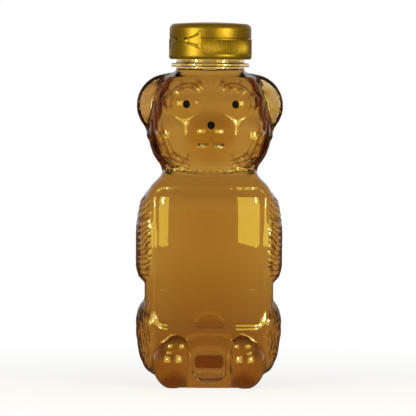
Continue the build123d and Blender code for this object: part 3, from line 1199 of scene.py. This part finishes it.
def clear_plastic():
    """Glossy plastic with faint flow marks from the mould."""
    material, finish = new_finish("clear_plastic")
    tint = finish.blend(finish.noise(14), (0.97, 0.985, 0.965), (0.99, 0.995, 0.985))
    # The wall above the honey's level is tinted brown.
    above_honey_share = finish.spread(finish.height(), (honey_level - 0.4) * MM, (honey_level + 0.4) * MM)
    tint = finish.blend(above_honey_share, tint, (0.70, 0.55, 0.27))
    # Painted shade: dark maroon in the fur grooves, the mouth, the slot, the soles and the creases.
    groove = finish.node("Attribute", {"attribute_name": "groove"}, {}, "Fac")
    tint = finish.blend(groove, tint, (0.26, 0.085, 0.03))
    waves = finish.noise(90, 2)
    wear = finish.spread(finish.noise(260, 4), 0.55, 0.8, 0.0, 0.03)
    sockets = {
        "Base Color": tint,
        "Roughness": wear,
        "IOR": plastic_index,
        "Transmission Weight": 1.0,
        "Normal": finish.bump(waves, 0.15 * MM, 0.25),
    }
    finish.surface(finish.node("BsdfPrincipled", {}, sockets))
    return material


def wet_plastic():
    """The inside of the wall where honey touches it: light passes straight through."""
    material, finish = new_finish("wet_plastic")
    tint = finish.blend(finish.noise(14), (0.985, 0.985, 0.97), (1.0, 1.0, 0.99))
    sockets = {"Base Color": tint, "Roughness": 0.0, "IOR": 1.0, "Transmission Weight": 1.0}
    finish.surface(finish.node("BsdfPrincipled", {}, sockets))
    return material


def honey_liquid():
    """Honey: no gloss of its own under the wall, and a colour that deepens with depth. Painted shade darkens
    its lower end and its ears.
    """
    material, finish = new_finish("honey_liquid")
    # Painted shade: the honey is darker towards the bottom.
    low = finish.spread(finish.height(), 12 * MM, 70 * MM)
    tint = finish.blend(low, (0.74, 0.60, 0.66), (1.0, 1.0, 1.0))
    # Painted shade in the ears, mottled, and deeper in the ear on -X than in the ear on +X.
    across = finish.node("SeparateXYZ", {}, {"Vector": finish.place()}, "X")
    back = finish.node("SeparateXYZ", {}, {"Vector": finish.place()}, "Y") - (axis_y + 4.5 * MM)
    thin = 1 - finish.spread(back.maths("ABSOLUTE", back), 3.2 * MM, 4.2 * MM)
    ear = thin * finish.spread(across.maths("ABSOLUTE", across), 21 * MM, 24 * MM)
    ear = ear * finish.spread(finish.height(), 122 * MM, 127 * MM)
    cloud = finish.spread(finish.noise(70), 0.35, 0.65)
    darker_ear_shade = finish.blend(cloud, (0.22, 0.075, 0.02), (0.50, 0.27, 0.08))
    paler_ear_shade = finish.blend(cloud, (0.45, 0.24, 0.05), (0.80, 0.62, 0.28))
    deep = finish.blend(finish.spread(across, -MM, MM), darker_ear_shade, paler_ear_shade)
    tint = finish.blend(ear, tint, deep)
    sockets = {"Base Color": tint, "Roughness": 0.0, "IOR": 1.0, "Transmission Weight": 1.0}
    body = finish.node("BsdfPrincipled", {}, sockets)
    depth = finish.node("VolumeAbsorption", {}, {"Color": honey_colour, "Density": honey_density})
    finish.surface(body, depth)
    return material


def wet_faces(mesh):
    """1 for each face of the wall's inside that lies below the honey's level."""
    places = np.empty(3 * len(mesh.polygons))
    mesh.polygons.foreach_get("center", places)
    x, y, z = places.reshape(-1, 3).T / MM
    y = y - axis_y / MM
    inside = (outer_field(x, y, z) < -wall / 2) | ((np.hypot(x, y) < neck_bore_radius + 0.5) & (z > 150))
    return (inside & (z < honey_level)).astype(int)


def mark_painted_shade(mesh):
    """Stores the painted shade of the fur grooves, the mouth, the slot, the soles and the creases on the
    mesh.
    """
    places = np.empty(3 * len(mesh.vertices))
    mesh.vertices.foreach_get("co", places)
    x, y, z = places.reshape(-1, 3).T / MM
    y = y - axis_y / MM
    on_skin = np.abs(outer_field(x, y, z)) < 0.3
    depth = painted_shade_share(np.abs(x), y, z) * on_skin
    mesh.attributes.new("groove", "FLOAT", "POINT").data.foreach_set("value", depth)


mark_painted_shade(shell.data)
shell.data.materials.clear()
shell.data.materials.append(clear_plastic())
shell.data.materials.append(wet_plastic())
shell.data.polygons.foreach_set("material_index", wet_faces(shell.data))
honey.data.materials.clear()
honey.data.materials.append(honey_liquid())
for piece in (shell, honey):
    work = bmesh.new()
    work.from_mesh(piece.data)
    wet = sum(face.material_index for face in work.faces)
    print(piece.name, "holds", round(work.calc_volume() * 1e6, 1), "ml and has", wet, "wet faces")
    work.free()
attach(shell, "bottle")
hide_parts("bottle")
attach(honey, "bottle")
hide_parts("honey")

# %% [markdown]
# ## The closure
#
# The skirt is knurled with fine ribs, except under the hinge. The hinge is a butterfly:
# two dished wings that leave a strap free between them, which belongs to the lid. The
# skirt has an arched dip for the strap and the lid has a notch for each wing. In a
# `curved_block` each column of the outline is bent round the axis.

# %% Turn the skirt and cut its dip
hinge_turn = math.radians(-48.5)
skirt_radius = 20.7
rib_count = 144
rib_depth = 0.42
rib_steps = 5
wing_radius = 20.45
wing_back = 19.65
notch_back = 19.45
gap = 0.2


def curved_block(name, columns, inner, outer, turn=hinge_turn, rows=6, dish=0.0):
    """A closed block from (u, low, high) columns, bent between two radii."""
    low_rim = np.array([(u, low) for u, low, high in columns])
    high_rim = np.array([(u, high) for u, low, high in columns])
    share = np.linspace(0, 1, rows)[:, None, None]
    sheet = low_rim[None] * (1 - share) + high_rim[None] * share
    along = np.linspace(0, 1, len(columns))[None, :] * np.ones((rows, 1))
    inset = np.minimum(np.minimum(along, 1 - along) * 6, np.minimum(share, 1 - share)[:, :, 0] * 5)
    front = outer - dish * ramp(inset, 0.25, 0.9)
    points = []
    for radius in (front, inner + 0 * front):
        u, z = sheet[..., 0], sheet[..., 1]
        y = -np.sqrt(radius**2 - u**2)
        x, y = u * math.cos(turn) - y * math.sin(turn), u * math.sin(turn) + y * math.cos(turn)
        points.append(np.stack([x, y, z], -1).reshape(-1, 3))
    points = np.concatenate(points)
    wide, back = len(columns), rows * len(columns)
    faces = []
    for i in range(rows - 1):
        for j in range(wide - 1):
            a = i * wide + j
            faces.append((a, a + 1, a + wide + 1, a + wide))
            faces.append((a + back, a + wide + back, a + wide + 1 + back, a + 1 + back))
    rim = [j for j in range(wide)] + [i * wide + wide - 1 for i in range(1, rows)]
    rim += [(rows - 1) * wide + j for j in range(wide - 2, -1, -1)]
    rim += [i * wide for i in range(rows - 2, 0, -1)]
    for a, b in zip(rim, rim[1:] + rim[:1]):
        faces.append((b, a, a + back, b + back))
    piece = make_piece(name, points, faces)
    work = bmesh.new()
    work.from_mesh(piece.data)
    bmesh.ops.recalc_face_normals(work, faces=work.faces)
    work.to_mesh(piece.data)
    work.free()
    return piece


def wing_columns(side, margin=0.0, steps=26):
    """The outline of a wing: a triangle with hollow edges and a cut-off tip by the strap."""
    columns = []
    for u in np.linspace(2.9 - margin, 11.3 + margin, steps):
        share = np.clip((u - 3.75) / 7.55, 0, 1)
        hollow = 0.45 * math.sin(math.pi * share)
        high = np.interp(u, (2.9, 3.75, 11.3), (172.25, 173.6, 177.6)) - hollow + margin
        low = np.interp(u, (2.9, 11.3), (172.1, 168.6)) + hollow - margin
        columns.append((side * u, low, high))
    return columns if side > 0 else columns[::-1]


skirt_profile = [(2.5, 172.6), (2.5, 177.4)] + arc(2.7, 177.4, 0.2, 180, 90, 3)
skirt_profile += arc(3.9, 177.3, 0.3, 90, 20, 4) + [(6.0, 174.8), (6.2, 174.3), (6.2, 173.75)]
skirt_profile += [(17.3, 173.75), (17.3, 174.6), (18.8, 174.6), (18.8, 173.75)]
skirt_profile += arc(skirt_radius - 0.2, 173.55, 0.2, 90, 0, 3)
skirt_profile += [(skirt_radius, 173.1), (skirt_radius, 172.8), (skirt_radius, 166.2), (skirt_radius, 165.9)]
skirt_profile += [
    (skirt_radius - 1.1 + 1.1 * math.cos(t), 165.3 - 1.8 * math.sin(t))
    for t in np.linspace(0, 1.57, 9)
]
skirt_profile += [(18.9, 163.5), (18.7, 163.7), (18.7, 172.6), (14.5, 172.6), (14.5, 170.6)]
skirt_profile += [(14.3, 170.4), (13.7, 170.4), (13.5, 170.6), (13.5, 172.6)]

skirt = turned("skirt", skirt_profile, rib_count * rib_steps, closed=True)
for vertex in skirt.data.vertices:
    x, y = vertex.co.x, vertex.co.y - axis_y
    z = vertex.co.z / MM
    reach = math.hypot(x, y)
    if reach > (skirt_radius - 0.05) * MM and 166 < z < 173:
        angle = math.atan2(y, x)
        off_hinge = abs(math.remainder(angle + math.pi / 2 - hinge_turn, 2 * math.pi))
        cut = rib_depth * (0.5 + 0.5 * math.cos(rib_count * angle)) * ramp(off_hinge, 0.62, 0.66)
        shorter = 1 - cut * MM / reach
        vertex.co.x *= shorter
        vertex.co.y = axis_y + y * shorter
dip = [(u, np.interp(abs(u), (2.9, 11.5), (171.9, 168.4)), 182.6) for u in np.linspace(-11.5, 11.5, 41)]
combine(skirt, curved_block("dip", dip, notch_back, 22.5), "DIFFERENCE")
cap_thread_start = thread_start + thread_pitch / 2
cap_thread = helix_ridge(
    "cap_thread", 18.75, 17.75, cap_thread_start, 1.1, thread_height, thread_pitch
)
combine(skirt, cap_thread, "UNION")
shade_by_angle(skirt, 45)

# %% Turn the lid and form the wings
lid_profile = [(0, 182.0), (4, 181.96), (8, 181.84), (12, 181.64), (15, 181.44), (17.65, 181.25)]
lid_profile += arc(17.65, 178.45, 2.8, 84, 0, 12) + [(wing_radius, 174.2)]
lid_profile += arc(wing_radius - 0.25, 174.2, 0.25, 0, -90, 4)
lid_profile += [(18.95, 173.95), (18.95, 177.4), (18.6, 178.6), (17.55, 179.95), (2.1, 179.95)]
lid_profile += [(1.85, 176.5), (1.6, 176.2), (1.0, 176.2), (1.0, 179.7), (0, 179.95)]
lid = turned("lid", lid_profile)
for name, side in (("notch_right", 1), ("notch_left", -1)):
    combine(lid, curved_block(name, wing_columns(side, gap), notch_back, 22.5), "DIFFERENCE")
strap = [(u, 172.2, 176.75) for u in np.linspace(-2.7, 2.7, 13)]
combine(lid, curved_block("strap", strap, wing_back, wing_radius - 0.05), "UNION")
thumb = [(u, 174.0, 175.55 - 0.3 * ramp(abs(u), 5.2, 6)) for u in np.linspace(-6, 6, 21)]
combine(lid, curved_block("thumb", thumb, 19.7, 21.65, hinge_turn + math.pi, dish=-0.1), "UNION")
shade_by_angle(lid, 40)
wing_right = curved_block("wing_right", wing_columns(1), wing_back, wing_radius, rows=20, dish=0.28)
wing_left = curved_block("wing_left", wing_columns(-1), wing_back, wing_radius, rows=20, dish=0.28)
for wing in (wing_right, wing_left):
    shade_by_angle(wing, 45)
seal_profile = arc(15.0, 171.9, 0.2, 180, 270, 3) + arc(17.5, 171.9, 0.2, -90, 0, 3)
seal_profile += arc(17.5, 172.3, 0.2, 0, 90, 3) + arc(15.0, 172.3, 0.2, 90, 180, 3)
seal = turned("seal", seal_profile, closed=True)
shade_by_angle(seal, 45)
print("closure:", [(p.name, len(p.data.polygons)) for p in (skirt, lid, wing_right, wing_left, seal)])

# %% [markdown]
# ## Gold, foam and black paint
#
# The cap is moulded in a plastic full of metal flake: it shows the softboxes as a broad
# satin sheen, with a fine grain. The eyes and nose are dabs of gloss paint, a little
# thicker in the middle, and each lies on the skin of the bear.

# %% Finishes of the closure and the paint


def satin_gold():
    material, finish = new_finish("satin_gold")
    patches = finish.noise(60, 4)
    flake = finish.noise(2600, 2)
    colour = finish.blend(patches, (0.178, 0.118, 0.008), (0.205, 0.140, 0.013))
    rough = finish.spread(flake, 0.3, 0.7, 0.33, 0.41)
    sockets = {
        "Base Color": colour,
        "Metallic": 0.7,
        "Roughness": rough,
        "Normal": finish.bump(flake, 0.02 * MM, 0.4),
    }
    finish.surface(finish.node("BsdfPrincipled", {}, sockets))
    return material


def pale_foam():
    material, finish = new_finish("pale_foam")
    cells = finish.noise(1800, 3)
    colour = finish.blend(cells, (0.72, 0.71, 0.67), (0.86, 0.85, 0.81))
    sockets = {"Base Color": colour, "Roughness": 0.9, "Normal": finish.bump(cells, 0.05 * MM)}
    finish.surface(finish.node("BsdfPrincipled", {}, sockets))
    return material


def black_gloss():
    material, finish = new_finish("black_gloss")
    streak = finish.noise(900, 3)
    colour = finish.blend(streak, (0.002, 0.002, 0.004), (0.006, 0.005, 0.008))
    rough = finish.spread(streak, 0.3, 0.7, 0.30, 0.42)
    sockets = {"Base Color": colour, "Roughness": rough, "Specular IOR Level": 0.04}
    finish.surface(finish.node("BsdfPrincipled", {}, sockets))
    return material


def skin_ahead(x, z):
    """How far back from the front the skin of the bear is met, at each x and z."""
    depths = np.arange(-31, -8, 0.1)
    value = outer_field(*(part.ravel() for part in np.broadcast_arrays(x[:, None], depths, z[:, None])))
    value = value.reshape(len(x), -1)
    first = np.argmax(value < 0, 1)
    row = np.arange(len(x))
    before, after = value[row, first - 1], value[row, first]
    return depths[first - 1] + 0.1 * before / (before - after)


def paint_dab(name, x, z, half_wide, half_high, rings=7, spokes=48):
    """A thin round dab of paint that follows the skin."""
    reach = np.linspace(0, 1, rings + 1)[1:]
    turn = np.linspace(0, 2 * math.pi, spokes, endpoint=False)
    across = np.append(x, x + half_wide * np.outer(reach, np.cos(turn)).ravel())
    up = np.append(z, z + half_high * np.outer(reach, np.sin(turn)).ravel())
    share = np.append(0, np.repeat(reach, spokes))
    skin = skin_ahead(across, up)
    front = skin - 0.03 - 0.11 * np.sqrt(np.maximum(1 - share**2, 0))
    back = skin + 0.06
    points = np.concatenate([np.stack([across, front, up], 1), np.stack([across, back, up], 1)])
    count = len(across)
    faces = []
    for j in range(spokes):
        k = (j + 1) % spokes
        faces.append((0, 1 + j, 1 + k))
        faces.append((count, count + 1 + k, count + 1 + j))
        for i in range(rings - 1):
            a, b = 1 + i * spokes, 1 + (i + 1) * spokes
            faces.append((a + j, b + j, b + k, a + k))
            faces.append((count + a + k, count + b + k, count + b + j, count + a + j))
        rim = 1 + (rings - 1) * spokes
        faces.append((rim + j, count + rim + j, count + rim + k, rim + k))
    return make_piece(name, points, faces)


dab_right = paint_dab("dab_right", 12.2, 141.2, 1.8, 2.0)
dab_left = paint_dab("dab_left", -12.2, 141.2, 1.8, 2.0)
dab_nose = paint_dab("dab_nose", 0.0, 130.9, 1.9, 2.0)

gold, foam, paint = satin_gold(), pale_foam(), black_gloss()
dressed = (
    # piece, finish, body it moves with, node it stands for, slot
    (skirt, gold, "closure", "screw_cap", "gold_cap"),
    (wing_right, gold, "closure", "hinge_strap_right", "gold_cap"),
    (wing_left, gold, "closure", "hinge_strap_left", "gold_cap"),
    (lid, gold, "lid", "flip_lid", "gold_cap"),
    (seal, foam, "gasket", "gasket", "foam_liner"),
    (dab_right, paint, "bottle", "eye_right", "black_paint"),
    (dab_left, paint, "bottle", "eye_left", "black_paint"),
    (dab_nose, paint, "bottle", "nose", "black_paint"),
)
for piece, finish, body, node, slot in dressed:
    piece.data.materials.clear()
    piece.data.materials.append(finish)
    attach(piece, body)
    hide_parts(node)
